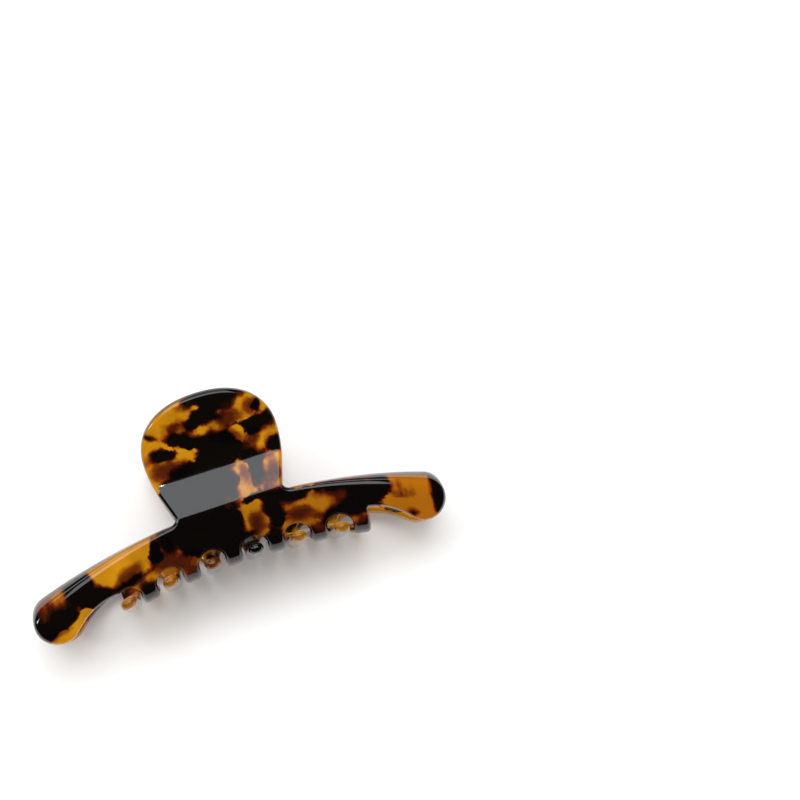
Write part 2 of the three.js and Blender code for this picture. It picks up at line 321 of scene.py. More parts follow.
def slab(loops, thickness, rounding, edgeSteps, gridStep, place):
    # place(x, down, depth) gives clip millimetres, rounding(x, down) the edge radius;
    # returns positions, normals, faces, flat coordinates and how each point's normal leans
    normals2d = [outward2d(loop, k > 0) for k, loop in enumerate(loops)]
    radii = [rounding(loop[:, 0], loop[:, 1])[:, None] for loop in loops]
    insetLoops = [loop - r * n for loop, r, n in zip(loops, radii, normals2d)]
    low = np.min(loops[0], axis=0)
    high = np.max(loops[0], axis=0)
    rowStep = gridStep * 0.87  # nearly even triangles
    gx, gy = np.meshgrid(np.arange(low[0], high[0], gridStep), np.arange(low[1], high[1], rowStep))
    gx = gx + (np.arange(gx.shape[0]) % 2)[:, None] * gridStep / 2
    grid = np.stack([gx.ravel(), gy.ravel()], axis=1)
    grid = grid[inside(grid, insetLoops)]
    rim = np.vstack(insetLoops)
    near = np.zeros(len(grid))
    batch = 500  # points at a time, to spare memory
    for start in range(0, len(grid), batch):
        d = grid[start:start + batch, None, :] - rim[None]
        near[start:start + batch] = np.sqrt((d**2).sum(2).min(1))
    rimRoom = gridStep * 0.6
    grid = grid[near > rimRoom]
    flat = np.vstack([rim, grid])
    edges = []
    offset = 0
    for loop in insetLoops:
        n = len(loop)
        edges += [(offset + i, offset + (i + 1) % n) for i in range(n)]
        offset += n
    tolerance = 1e-7
    _, _, triangles, origin, _, _ = delaunay_2d_cdt([Vector(p) for p in flat], edges, [], 0, tolerance)
    index = [o[0] for o in origin]
    triangles = np.array([[index[i] for i in t] for t in triangles])
    middle = flat[triangles].mean(axis=1)
    triangles = triangles[inside(middle, insetLoops)]
    a, b, c = (flat[triangles[:, k]] for k in range(3))
    turn = (b[:, 0] - a[:, 0]) * (c[:, 1] - a[:, 1]) - (b[:, 1] - a[:, 1]) * (c[:, 0] - a[:, 0])
    # x right and "down" downwards: a clockwise turn in these coordinates faces out of the front
    triangles[turn > 0] = triangles[turn > 0][:, ::-1]

    nFlat = len(flat)
    coords = [np.column_stack([flat, np.zeros(nFlat)]), np.column_stack([flat, np.full(nFlat, thickness)])]
    lean = [np.zeros((nFlat, 3)), np.zeros((nFlat, 3))]
    lean[0][:, 2] = 1
    lean[1][:, 2] = -1
    faces = [tuple(t) for t in triangles] + [tuple(t[::-1] + nFlat) for t in triangles]
    base = 2 * nFlat
    offset = 0
    for loop, radius, n2 in zip(loops, radii, normals2d):
        count = len(loop)
        rings = [np.arange(offset, offset + count)]
        angles = np.linspace(math.pi / 2, 0, edgeSteps + 1)[1:]
        sides = [(a, 1) for a in angles] + [(a, -1) for a in angles[::-1]]
        for angle, side in sides:
            depth = radius[:, 0] * (1 - math.sin(angle))
            if side < 0:
                depth = thickness - depth
            ring = loop - radius * (1 - math.cos(angle)) * n2
            coords.append(np.column_stack([ring, depth]))
            lean.append(np.column_stack([n2 * math.cos(angle), np.full(count, side * math.sin(angle))]))
            rings.append(np.arange(base, base + count))
            base += count
        rings.append(np.arange(offset, offset + count) + nFlat)
        anticlockwise = turnOf(loop) > 0
        for upper, lower in zip(rings[:-1], rings[1:]):
            u2, l2 = np.roll(upper, -1), np.roll(lower, -1)
            for quad in zip(upper, lower, l2, u2):
                faces.append(tuple(quad[::-1]) if anticlockwise else tuple(quad))
        offset += count
    coords = np.vstack(coords)
    lean = np.vstack(lean)

    def placed(stepX, stepDown):
        return place(coords[:, 0] + stepX, coords[:, 1] + stepDown, coords[:, 2])

    small = 0.02  # the sheet's directions are measured over this step
    position = placed(0, 0)
    acrossX = placed(small, 0) - placed(-small, 0)
    alongDown = placed(0, small) - placed(0, -small)
    acrossX /= np.linalg.norm(acrossX, axis=1)[:, None]
    alongDown /= np.linalg.norm(alongDown, axis=1)[:, None]
    out = np.cross(alongDown, acrossX)
    out /= np.linalg.norm(out, axis=1)[:, None]
    normal = lean[:, :1] * acrossX + lean[:, 1:2] * alongDown + lean[:, 2:] * out
    normal /= np.linalg.norm(normal, axis=1)[:, None]
    return position, normal, faces, coords, lean


def turnToTable(vectors, turned):
    # as toTable, for directions
    v = np.array(vectors, float)
    if turned:
        v = v * (-1, 1, -1)
    c, s = math.cos(restingTilt), math.sin(restingTilt)
    return np.stack([v[:, 0], v[:, 1] * c - v[:, 2] * s, v[:, 1] * s + v[:, 2] * c], axis=1)


def makeObject(name, position, faces, normals=None):
    mesh = bpy.data.meshes.new(name)
    mesh.from_pydata([tuple(p) for p in position], [], [tuple(int(i) for i in f) for f in faces])
    mesh.validate()
    mesh.shade_smooth()
    if normals is not None:
        mesh.normals_split_custom_set_from_vertices([tuple(n) for n in normals])
    made = bpy.data.objects.new(name, mesh)
    bpy.context.scene.collection.objects.link(made)
    return made


def addValues(obj, name, values):
    kind = "FLOAT_VECTOR" if np.ndim(values) == 2 else "FLOAT"
    attribute = obj.data.attributes.new(name, kind, "POINT")
    key = "vector" if kind == "FLOAT_VECTOR" else "value"
    attribute.data.foreach_set(key, np.asarray(values, np.float32).ravel())


# where the dark lies in the acetate: middle (x, down), half sizes, turn in degrees
frontBlack = [
    # tab
    ((3.5, 1.4), (6.6, 2.3), 6), ((-0.4, 6), (4.5, 2.2), -8), ((4.5, 4.2), (4, 1.2), -20),
    ((13.2, 7.4), (1.1, 1.5), 30), ((12.4, 11.6), (4.2, 2.1), -8), ((9, 10.6), (2, 0.8), 10),
    ((-7.4, 9.7), (2.9, 1.5), 25), ((-11.6, 12.7), (3, 1.9), 0), ((-1.2, 12), (6.2, 1.7), 8),
    ((1.2, 16), (6.4, 3.2), 0), ((-3.5, 18.6), (8, 2.2), 0), ((9.3, 18.6), (1.9, 1.2), 20),
    ((15.2, 17.8), (1.7, 2.2), 10), ((-12.8, 7.9), (1, 0.1), 25), ((-9, 19.6), (5.5, 1.7), 0),
    # neck
    ((-6, 23.6), (9.9, 5.4), 0), ((-12, 24.8), (3.8, 6.4), 0), ((-5, 28.4), (6.2, 2.4), 0),
    ((8.8, 23), (1.5, 3.8), 8), ((8.4, 19.6), (3, 0.9), 0), ((8, 29.6), (6, 0.6), 0),
    # bar and left arm
    ((-7, 34), (9.2, 5.2), 0), ((-4.5, 38.2), (7, 3), 0), ((-13.5, 31.8), (5, 1.9), -10),
    ((-21, 34.2), (1.8, 2), 20), ((-40.6, 35), (3.9, 2.4), 15), ((-37.2, 37), (4, 1.6), 12),
    ((-48, 37.6), (4.7, 2.3), -5), ((-50.5, 37), (3, 2.3), 10), ((-53.2, 36), (1.5, 2.6), 20),
    ((-44.4, 36.4), (1.6, 1), 30), ((-28.6, 38), (3.4, 1), -5),
    # right arm
    ((9.8, 34), (2, 5.6), 0), ((14.5, 31.6), (5, 1.6), 3), ((29.5, 37.2), (6.2, 2.4), -8),
    ((32.6, 35), (4.9, 2.6), 0), ((24, 38.7), (3.4, 1.4), -15), ((26.5, 32.6), (3.2, 0.7), 4),
    ((36.4, 33.2), (3, 0.8), 4), ((52.9, 36.8), (2.5, 5.2), 10), ((44.4, 41), (0.45, 0.35), 0),
    # teeth: painted shade, the front teeth darkened where they turn down into the clip's shadow
    ((-25, 44), (2.8, 4), 0), ((-2.8, 46), (2.8, 7), 0), ((8.3, 46), (2.8, 7), 0),
    ((30.4, 46), (2.3, 5), 0), ((-13.9, 49), (2.8, 6), 0), ((19.4, 49), (2.8, 6), 0),
]
frontBrown = [
    ((5.6, 7.9), (3.5, 2), 10), ((12.6, 7), (2.2, 1.8), 30), ((10.4, 14.8), (1.6, 2), 20),
    ((-11, 17.6), (4.8, 3.2), 10), ((-6.8, 7), (1.4, 0.5), 20), ((4.5, 12.5), (4, 1.6), 25),
    ((-19, 36), (3.8, 4), 25), ((-15, 38.6), (3.6, 2.4), 0), ((-28.5, 36.8), (3.4, 1.9), -15),
    ((5.2, 35.5), (2, 2.6), 0), ((15.6, 36.9), (3.4, 2), 0), ((21, 38), (1.6, 1), 0),
    ((42.6, 35.6), (0.5, 0.2), 0), ((5.5, 23), (1.2, 3), 0), ((13, 24), (1.5, 3.4), 0),
    # the last two: painted shade, browning the teeth where they turn into shadow
    ((-49, 39.6), (2.4, 1), 10), ((-13.9, 43), (2.8, 3), 0), ((19.4, 43), (2.8, 3), 0),
]
# the rear jaw's dark; the entries over the teeth, 50 and more down, are painted shade on teeth that sit in
# the clip's shadow
rearBlack = [
    ((-46, 38), (6, 3), 15), ((-30, 35), (5, 3.4), -15), ((-14, 36), (5, 4), 25), ((2, 33), (5, 4), 0),
    ((17, 37), (6, 2.6), -12), ((31, 35), (4, 3.5), 0), ((47, 36), (5, 2.4), 20),
    ((-6, 4), (5, 2.6), 20), ((7, 9), (6, 2.6), -25), ((-9, 13), (5, 2.2), 10), ((4, 20), (7, 3), 0),
    ((-10, 25), (4, 4), 0), ((11, 27), (4, 2.6), 0), ((14, 16), (2.4, 3), 15),
    ((35, 32.2), (22, 1.9), 4), ((-35, 32.2), (22, 1.9), -4), ((-2.8, 56), (2.8, 16), 0),
    ((8.3, 52), (2.8, 10), 0), ((-25, 52), (2.8, 8), 0), ((-13.9, 50), (2.8, 5), 0),
    ((19.4, 50), (2.8, 6), 0), ((38, 39.5), (6, 1.8), -8),
]
# the first two: painted shade, darkening the rear teeth's tips
rearBrown = [
    ((8.3, 62), (2.6, 6), 0), ((-25, 62), (1.4, 3), 0), ((25, 37), (5, 3), 10), ((-20, 39), (6, 2), 0),
]
blotchEdge = {
    "wander": 0.7,  # how far slow noise tears the outline, and over what length
    "wanderLength": 4.5,
    "wanderSeed": 5,
    "outside": -6.0,  # value far from any blotch
    "merge": 1.6,  # blotches closer than this run together
    "swell": 0.8,  # how much fuller they are where they meet
    "brownSeed": 5,
}
noise.seed_set(blotchEdge["wanderSeed"])  # without it the wander differs on every run


def blotchField(coords, blotches, seed):
    # millimetres, above 0 inside the dark and falling off outside
    x, down = coords[:, 0].copy(), coords[:, 1].copy()
    wander, wanderLength = blotchEdge["wander"], blotchEdge["wanderLength"]
    for i in range(len(x)):
        w = noise.noise_vector(Vector((coords[i, 0] / wanderLength, coords[i, 1] / wanderLength, seed)))
        x[i] += wander * w.x
        down[i] += wander * w.y
    field = np.full(len(x), blotchEdge["outside"])
    for (cx, cy), (a, b), turn in blotches:
        c, s = math.cos(math.radians(turn)), math.sin(math.radians(turn))
        dx, dy = x - cx, down - cy
        r = np.sqrt(((dx * c + dy * s) / a) ** 2 + ((dy * c - dx * s) / b) ** 2)
        value = (1 - r) * min(a, b)
        blend = np.clip(0.5 + (value - field) / blotchEdge["merge"], 0, 1)
        field = field * (1 - blend) + value * blend + blotchEdge["swell"] * blend * (1 - blend)
    return field


def edgeRadius(x, down):
    # fuller towards the tips of the teeth
    share = np.clip((down - barLength - sheet["beadFrom"]) / sheet["beadOver"], 0, 1)
    share = share * (np.abs(x) < toothZone)
    return sheet["edgeRound"] + (sheet["toothRound"] - sheet["edgeRound"]) * share


amberWarmth = {
    "tab": -0.28,  # yellow
    "armFrom": 22,  # down the sheet, where the tab's colour ends
    "armOver": 10,
    "alongArm": 0.006,  # more orange with each millimetre to the right
}
# painted shade laid on the jaws' rounded edges
edgeShade = {
    "level": 0.75,
    "toothFrom": 4,  # below the bar
    "toothLeast": 0.5,
}


def warmth(x, down):
    arm = np.clip((down - amberWarmth["armFrom"]) / amberWarmth["armOver"], 0, 1)
    return amberWarmth["tab"] + arm * (-amberWarmth["tab"] + amberWarmth["alongArm"] * x)


def makeJaw(name, body, black, brown, seed, turned):
    position, normal, faces, coords, lean = slab(
        [jawOutline()], sheet["thickness"], edgeRadius, sheet["edgeSteps"], sheet["gridStep"], onSheet)
    obj = makeObject(name, toTable(position, turned), faces, turnToTable(normal, turned))
    addValues(obj, "sheetPlace", coords)
    addValues(obj, "blotch", blotchField(coords, black, seed))
    addValues(obj, "brown", blotchField(coords, brown, seed + blotchEdge["brownSeed"]))
    # painted shade on the rounded edges: dark where they face up or out, left clear where they face down
    # under the arms; on the teeth at least half dark
    shade = np.clip(edgeShade["level"] - lean[:, 1], 0, 1)
    onTooth = coords[:, 1] > barLength + edgeShade["toothFrom"]
    shade = np.where(onTooth, np.maximum(shade, edgeShade["toothLeast"]), shade)
    addValues(obj, "edge", (1 - np.abs(lean[:, 2])) ** 2 * shade)
    addValues(obj, "warmth", warmth(coords[:, 0], coords[:, 1]))
    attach(obj, body)
    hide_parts(body + "_jaw")
    return obj


frontJaw = makeJaw("front_jaw_acetate", "front", frontBlack, frontBrown, seed=3.1, turned=False)
rearJaw = makeJaw("rear_jaw_acetate", "rear", rearBlack, rearBrown, seed=9.4, turned=True)
print("jaws made,", len(frontJaw.data.vertices), "points each")


# ears that carry the pin
ear = {
    "thickness": 2.6,
    "radius": 3.3,
    "holeRadius": 1.1,
    "innerX": 6.6,
    "outerX": -9.6,
    "footLow": 20.5,
    "footHigh": 29.5,
    "edgeRound": 0.3,
    "edgeSteps": 3,
    "glue": 0.1,  # gap left for the cement
    "arcSteps": 32,
    "holeSteps": 28,
    "outlineStep": 0.4,
    "gridStep": 0.8,
    "easing": 4,  # passes that ease the outline's corners
    "patternShift": 7,  # each ear is cut from another place in the sheet
    "patternLength": 5,
    "patternDepth": 3,
    "patternSeed": 2.7,
}


def earLoops():
    # (height, depth out of the jaw) in the ear's own plane
    behind = sheet["thickness"] + ear["glue"]
    inner = [(row[1] - behind * math.sin(row[3]), row[2] - behind * math.cos(row[3])) for row in platePath]
    outline = [p for p in inner if ear["footLow"] < p[0] < ear["footHigh"]]
    for t in np.linspace(math.pi, 2 * math.pi, ear["arcSteps"]):
        outline.append((clip["pinHeight"] + ear["radius"] * math.cos(t), ear["radius"] * math.sin(t)))
    hole = [(clip["pinHeight"] + ear["holeRadius"] * math.cos(t), ear["holeRadius"] * math.sin(t))
            for t in np.linspace(0, 2 * math.pi, ear["holeSteps"], endpoint=False)]
    outline = evenly(outline, ear["outlineStep"])
    for _ in range(ear["easing"]):
        outline = (np.roll(outline, 1, axis=0) + 2 * outline + np.roll(outline, -1, axis=0)) / 4
    return [evenly(outline, ear["outlineStep"]), np.array(hole)]


def makeEar(name, body, x, turned):
    half = ear["thickness"] / 2

    def place(y, z, depth):
        return np.stack([x + half - depth, y, z], axis=-1)

    def rounding(y, z):
        return np.full(len(y), ear["edgeRound"])

    position, _, faces, coords, lean = slab(
        earLoops(), ear["thickness"], rounding, ear["edgeSteps"], ear["gridStep"], place)
    obj = makeObject(name, toTable(position, turned), faces)
    flat = np.column_stack([coords[:, 0] + ear["patternShift"] * x, coords[:, 1], coords[:, 2]])
    addValues(obj, "sheetPlace", flat)
    length, layer = ear["patternLength"], ear["patternSeed"] * x
    field = [ear["patternDepth"] * noise.noise(Vector((p[0] / length, p[1] / length, layer))) for p in flat]
    addValues(obj, "blotch", field)
    addValues(obj, "brown", np.full(len(flat), blotchEdge["outside"]))
    # painted shade: the ears' rounded edges darkened all round
    addValues(obj, "edge", 1 - np.abs(lean[:, 2]))
    addValues(obj, "warmth", np.zeros(len(flat)))
    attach(obj, body)
    return obj


ears = []
for body in ("front", "rear"):
    for which, x in (("outer", ear["outerX"]), ("inner", ear["innerX"])):
        made = makeEar(f"{body}_ear_{which}_cut", body, x, body == "rear")
        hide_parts(f"{body}_ear_{which}")
        ears.append(made)
print("ears made")


# steel pin
pin = {
    "radius": 1.0,
    "headRadius": 1.7,
    "headLength": 0.8,
    "halfSpan": 11.2,  # to the underside of each head
    "dome": [(0, 0), (0.45, 0.02), (0.75, 0.12), (0.93, 0.3), (1, 0.5)],  # share of head radius, fall
    "rimRound": 0.06,
    "neckRound": (0.08, 0.1),  # out, along
    "sides": 40,
}


def makePin():
    end = pin["halfSpan"] + pin["headLength"]
    head, span, rim = pin["headRadius"], pin["halfSpan"], pin["rimRound"]
    neckOut, neckAlong = pin["neckRound"]
    side = [(head * share, end - fall) for share, fall in pin["dome"]]
    side += [(head, span + rim), (head - rim, span)]
    side += [(pin["radius"] + neckOut, span), (pin["radius"], span - neckAlong)]
    profile = side + [(r, -x) for r, x in reversed(side)]
    position, faces = [], []
    n = pin["sides"]
    for r, x in profile[1:-1]:
        for i in range(n):
            t = 2 * math.pi * i / n
            position.append((x, clip["pinHeight"] + r * math.cos(t), r * math.sin(t)))
    rows = len(profile) - 2
    for k in range(rows - 1):
        for i in range(n):
            j = (i + 1) % n
            faces.append((k * n + i, (k + 1) * n + i, (k + 1) * n + j, k * n + j))
    position += [(end, clip["pinHeight"], 0), (-end, clip["pinHeight"], 0)]
    for i in range(n):
        j = (i + 1) % n
        faces.append((rows * n, i, j))
        faces.append((rows * n + 1, (rows - 1) * n + j, (rows - 1) * n + i))
    obj = makeObject("hinge_pin_steel", toTable(position), faces)
    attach(obj, "rear")
    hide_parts("hinge_pin")
    return obj


# coil spring, one leg under each tab
spring = {
    "wireRadius": 0.55,
    "coilRadius": 2.7,
    "turns": 7,
    "pitch": 1.3,
    "legLean": 70,
    "legLength": 15.4,
    "legSteps": 26,
    "tipDome": 0.25,
    "sides": 12,
    "stepsPerTurn": 30,
}


def springLine():
    lean = math.radians(spring["legLean"])
    startTurn = math.pi - lean
    endTurn = spring["turns"] * 2 * math.pi + lean
    points = []

    def at(turn, beyond, x):
        y = spring["coilRadius"] * math.sin(turn) + beyond * math.cos(turn)
        z = spring["coilRadius"] * math.cos(turn) - beyond * math.sin(turn)
        points.append((x, clip["pinHeight"] + y, z))

    halfCoil = spring["turns"] * spring["pitch"] / 2
    for beyond in np.linspace(-spring["legLength"], 0, spring["legSteps"])[:-1]:
        at(startTurn, beyond, -halfCoil)
    steps = spring["turns"] * spring["stepsPerTurn"]
    for i in range(steps + 1):
        share = i / steps
        at(startTurn + (endTurn - startTurn) * share, 0, halfCoil * (2 * share - 1))
    for beyond in np.linspace(0, spring["legLength"], spring["legSteps"])[1:]:
        at(endTurn, beyond, halfCoil)
    return np.array(points)


def makeSpring():
    line = springLine()
    tangent = np.gradient(line, axis=0)
    tangent /= np.linalg.norm(tangent, axis=1)[:, None]
    n = spring["sides"]
    position, faces = [], []
    side = np.array([1.0, 0, 0])
    for p, t in zip(line, tangent):
        side = side - t * (side @ t)
        side /= np.linalg.norm(side)
        other = np.cross(t, side)
        for i in range(n):
            a = 2 * math.pi * i / n
            position.append(p + spring["wireRadius"] * (math.cos(a) * side + math.sin(a) * other))
    rows = len(line)
    for k in range(rows - 1):
        for i in range(n):
            j = (i + 1) % n
            faces.append((k * n + i, k * n + j, (k + 1) * n + j, (k + 1) * n + i))
    dome = spring["tipDome"]
    for k, tip in ((0, line[0] - tangent[0] * dome), (rows - 1, line[-1] + tangent[-1] * dome)):
        position.append(tip)
        centre = len(position) - 1
        for i in range(n):
            j = (i + 1) % n
            faces.append((centre, k * n + j, k * n + i) if k == 0 else (centre, k * n + i, k * n + j))
    obj = makeObject("torsion_spring_wire", toTable(position), faces)
    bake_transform(obj)
    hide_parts("torsion_spring")
    return obj


hingePin = makePin()
torsionSpring = makeSpring()
print("pin and spring made")


def newGroup(name, inputs, outputs):
    group = bpy.data.node_groups.new(name, "ShaderNodeTree")
    for label, kind, value in inputs:
        socket = group.interface.new_socket(name=label, in_out="INPUT", socket_type=kind)
        socket.default_value = value
    for label, kind in outputs:
        group.interface.new_socket(name=label, in_out="OUTPUT", socket_type=kind)
    start = group.nodes.new("NodeGroupInput")
    end = group.nodes.new("NodeGroupOutput")
    return group, start, end


def node(tree, kind, **settings):
    made = tree.nodes.new(kind)
    for key, value in settings.items():
        setattr(made, key, value)
    return made


def setInputs(made, **values):
    for key, value in values.items():
        made.inputs[key].default_value = value
    return made


def calc(tree, operation, a, b=None, clamp=False):
    made = node(tree, "ShaderNodeMath", operation=operation, use_clamp=clamp)
    for slot, value in ((0, a), (1, b)):
        if value is None:
            continue
        if isinstance(value, (int, float)):
            made.inputs[slot].default_value = value
        else:
            tree.links.new(value, made.inputs[slot])
    return made.outputs[0]


def noiseAt(tree, vector, scale, detail=2.0, roughness=0.5):
    made = node(tree, "ShaderNodeTexNoise")
    made.inputs["Scale"].default_value = scale
    made.inputs["Detail"].default_value = detail
    made.inputs["Roughness"].default_value = roughness
    tree.links.new(vector, made.inputs["Vector"])
    return made.outputs["Fac"]


def swing(tree, vector, amount, scale, detail=2.0, roughness=0.5):
    # noise to either side of nothing
    middle = calc(tree, "SUBTRACT", noiseAt(tree, vector, scale, detail, roughness), 0.5)
    return calc(tree, "MULTIPLY", middle, amount)


def bumpOf(tree, skin, height, strength, distance):
    bump = setInputs(node(tree, "ShaderNodeBump"), Strength=strength, Distance=distance)
    tree.links.new(height, bump.inputs["Height"])
    tree.links.new(bump.outputs["Normal"], skin.inputs["Normal"])


def ramp(tree, value, stops):
    made = node(tree, "ShaderNodeValToRGB")
    elements = made.color_ramp.elements
    while len(elements) < len(stops):
        elements.new(0.5)
    for element, (place, color) in zip(elements, stops):
        element.position = place
        element.color = (*color, 1)
    tree.links.new(value, made.inputs["Fac"])
    return made.outputs["Color"]


def mixColor(tree, share, a, b, blend="MIX"):
    made = node(tree, "ShaderNodeMix", data_type="RGBA", blend_type=blend)
    for slot, value in ((0, share), (6, a), (7, b)):  # the node's colour sockets
        if hasattr(value, "is_linked"):
            tree.links.new(value, made.inputs[slot])
        elif slot == 0:
            made.inputs[slot].default_value = value
        else:
            made.inputs[slot].default_value = (*value, 1)
    return made.outputs[2]


tortoise = {
    "paleAmber": (1.0, 0.44, 0.005),
    "deepAmber": (0.52, 0.19, 0.003),
    "orange": (0.62, 0.19, 0.004),
    "rim": (0.6, 0.38, 0.3),  # first darkening round a blotch, then the halo
    "halo": (0.22, 0.055, 0.03),
    "brown": (0.05, 0.02, 0.02),
    "black": (0.004, 0.004, 0.006),
    "stainAndShade": (0.35, 0.16, 0.3),
    "deepStainAndShade": (0.14, 0.05, 0.3),
    # painted shade over the rounded edges: its colour and strength
    "edgeShadeColor": (0.10, 0.08, 0.05),
    "edgeShadeStrength": 1.2,
    # how far noise moves a blotch's edge, and the scale of that noise
    "torn": (2.6, 0.3),
    "fine": (0.7, 1.1),
    "amberDrift": (0.8, 0.12),
    "amberMiddle": 0.45,
    # softness of the edges: scale of its noise, span, what is taken off, least
    "softness": (0.13, 2.8, 1.0, 0.14),
    # slope and middle of the dark and of the brown; both are the sheet's pattern, and over the teeth
    # painted shade
    "dark": (0.25, 0.62),
    "stainedAndShaded": (0.4, 0.5),
}


def tortoiseGroup():
    # amber acetate with dark blotches: sharp in places, soft and reddish where they lie deeper; over the
    # teeth the dark and brown are painted shade, and the rounded edges get painted shade too
    group, start, end = newGroup(
        "tortoise blotches and edge shade",
        [("Place", "NodeSocketVector", (0, 0, 0)), ("Field", "NodeSocketFloat", 0.0),
         ("Brown", "NodeSocketFloat", blotchEdge["outside"]),
         ("Edge", "NodeSocketFloat", 0.0), ("Warmth", "NodeSocketFloat", 0.0)],
        [("Color", "NodeSocketColor")])
    place = start.outputs["Place"]
    clear = (1, 1, 1)
    torn = swing(group, place, *tortoise["torn"], 1, 0.4)
    fine = swing(group, place, *tortoise["fine"])
    drift = swing(group, place, *tortoise["amberDrift"])

    def tornEdge(field):
        return calc(group, "ADD", calc(group, "ADD", field, torn), fine)

    def shareOf(value, slope, middle):
        return calc(group, "ADD", calc(group, "MULTIPLY", value, slope), middle, clamp=True)

    softScale, softSpan, softOff, softLeast = tortoise["softness"]
    softness = calc(group, "MULTIPLY", noiseAt(group, place, softScale, 1), softSpan)
    softness = calc(group, "MAXIMUM", calc(group, "SUBTRACT", softness, softOff), softLeast)
    sharpened = calc(group, "DIVIDE", tornEdge(start.outputs["Field"]), softness)
    dark = shareOf(sharpened, *tortoise["dark"])
    warmed = calc(group, "ADD", drift, start.outputs["Warmth"])
    warmed = calc(group, "ADD", warmed, tortoise["amberMiddle"], clamp=True)
    amber = ramp(group, warmed, [(0.0, tortoise["paleAmber"]), (0.45, tortoise["deepAmber"]),
                                 (0.8, tortoise["orange"])])
    stainedAndShaded = shareOf(tornEdge(start.outputs["Brown"]), *tortoise["stainedAndShaded"])
    stainAndShade = ramp(group, stainedAndShaded, [(0.1, clear), (0.5, tortoise["stainAndShade"]), (0.9, tortoise["deepStainAndShade"])])
    amber = mixColor(group, 1.0, amber, stainAndShade, "MULTIPLY")
    over = ramp(group, dark, [(0.1, clear), (0.32, tortoise["rim"]), (0.46, tortoise["halo"]),
                              (0.6, tortoise["brown"]), (0.72, tortoise["black"])])
    base = mixColor(group, 1.0, amber, over, "MULTIPLY")
    # painted shade: the rounded edges darkened by the Edge value
    edge = calc(group, "MULTIPLY", start.outputs["Edge"], tortoise["edgeShadeStrength"], clamp=True)
    shadedEdges = mixColor(group, 1.0, base, tortoise["edgeShadeColor"], "MULTIPLY")
    group.links.new(mixColor(group, edge, base, shadedEdges), end.inputs["Color"])
    return group


polish = {
    "gloss": 0.06,  # roughness of the buffed sheet
    "rub": 0.05,
    "rubScale": 0.7,
    "wave": 0.09,  # scales of the slow and the fine waviness
    "ripple": 0.5,
    "rippleShare": 0.08,
}


def polishGroup():
    # hand polish: slow waviness in the surface and faint rubbing in the gloss
    group, start, end = newGroup(
        "hand polish",
        [("Place", "NodeSocketVector", (0, 0, 0)), ("Gloss", "NodeSocketFloat", polish["gloss"]),
         ("Rub", "NodeSocketFloat", polish["rub"])],
        [("Roughness", "NodeSocketFloat"), ("Height", "NodeSocketFloat")])
    place = start.outputs["Place"]
    rubbed = noiseAt(group, place, polish["rubScale"], 5, 0.65)
    rub = calc(group, "MULTIPLY", rubbed, start.outputs["Rub"])
    group.links.new(calc(group, "ADD", start.outputs["Gloss"], rub), end.inputs["Roughness"])
    slow = noiseAt(group, place, polish["wave"], 1)
    fine = calc(group, "MULTIPLY", noiseAt(group, place, polish["ripple"]), polish["rippleShare"])
    group.links.new(calc(group, "ADD", slow, fine), end.inputs["Height"])
    return group


blotchNodes = tortoiseGroup()
polishNodes = polishGroup()


def newMaterial(name):
    material = bpy.data.materials.new(name)
    material.use_nodes = True
    tree = material.node_tree
    return material, tree, tree.nodes["Principled BSDF"]


acetate = {
    "jawClearness": 0.3,  # share of light that passes
    "earClearness": 0.0,
    "refraction": 1.49,
    "coat": 0.5,
    "coatRoughness": 0.03,
    "bump": (0.12, 0.0006),  # strength, depth in metres
}


def acetateMaterial(name, clearness):
    material, tree, skin = newMaterial(name)
    pattern = node(tree, "ShaderNodeGroup", node_tree=blotchNodes)
    buffed = node(tree, "ShaderNodeGroup", node_tree=polishNodes)
    for stored, socket in (("warmth", "Warmth"), ("blotch", "Field"), ("brown", "Brown"), ("edge", "Edge")):
        value = node(tree, "ShaderNodeAttribute", attribute_name=stored)
        tree.links.new(value.outputs["Fac"], pattern.inputs[socket])
    place = node(tree, "ShaderNodeAttribute", attribute_name="sheetPlace")
    for group in (pattern, buffed):
        tree.links.new(place.outputs["Vector"], group.inputs["Place"])
    tree.links.new(pattern.outputs["Color"], skin.inputs["Base Color"])
    tree.links.new(buffed.outputs["Roughness"], skin.inputs["Roughness"])
    bumpOf(tree, skin, buffed.outputs["Height"], *acetate["bump"])
    setInputs(skin, **{"IOR": acetate["refraction"], "Transmission Weight": clearness,
                       "Coat Weight": acetate["coat"], "Coat Roughness": acetate["coatRoughness"]})
    return material


steel = {
    "pinTint": (0.62, 0.62, 0.63),
    "pinGloss": 0.16,
    "pinDrawn": (0.2, 1, 1),  # draw lines run along x
    "springTint": (0.55, 0.55, 0.56),
    "springGloss": 0.2,
    "springDrawn": (1, 1, 1),
    "lineScale": 900,
    "lineDark": 0.8,
    "lineRoughness": 0.2,
    "bump": (0.15, 0.00005),
}


def steelMaterial(name, tint, gloss, drawn):
    material, tree, skin = newMaterial(name)
    coords = node(tree, "ShaderNodeTexCoord")
    stretch = setInputs(node(tree, "ShaderNodeMapping"), Scale=drawn)
    tree.links.new(coords.outputs["Object"], stretch.inputs["Vector"])
    lines = noiseAt(tree, stretch.outputs["Vector"], steel["lineScale"], 3, 0.6)
    dull = tuple(steel["lineDark"] * c for c in tint)
    tree.links.new(ramp(tree, lines, [(0.3, dull), (0.7, tint)]), skin.inputs["Base Color"])
    rough = calc(tree, "MULTIPLY", lines, steel["lineRoughness"])
    tree.links.new(calc(tree, "ADD", rough, gloss), skin.inputs["Roughness"])
    bumpOf(tree, skin, lines, *steel["bump"])
    setInputs(skin, Metallic=1.0)
    return material


def dress(obj, material):
    obj.data.materials.clear()
    obj.data.materials.append(material)


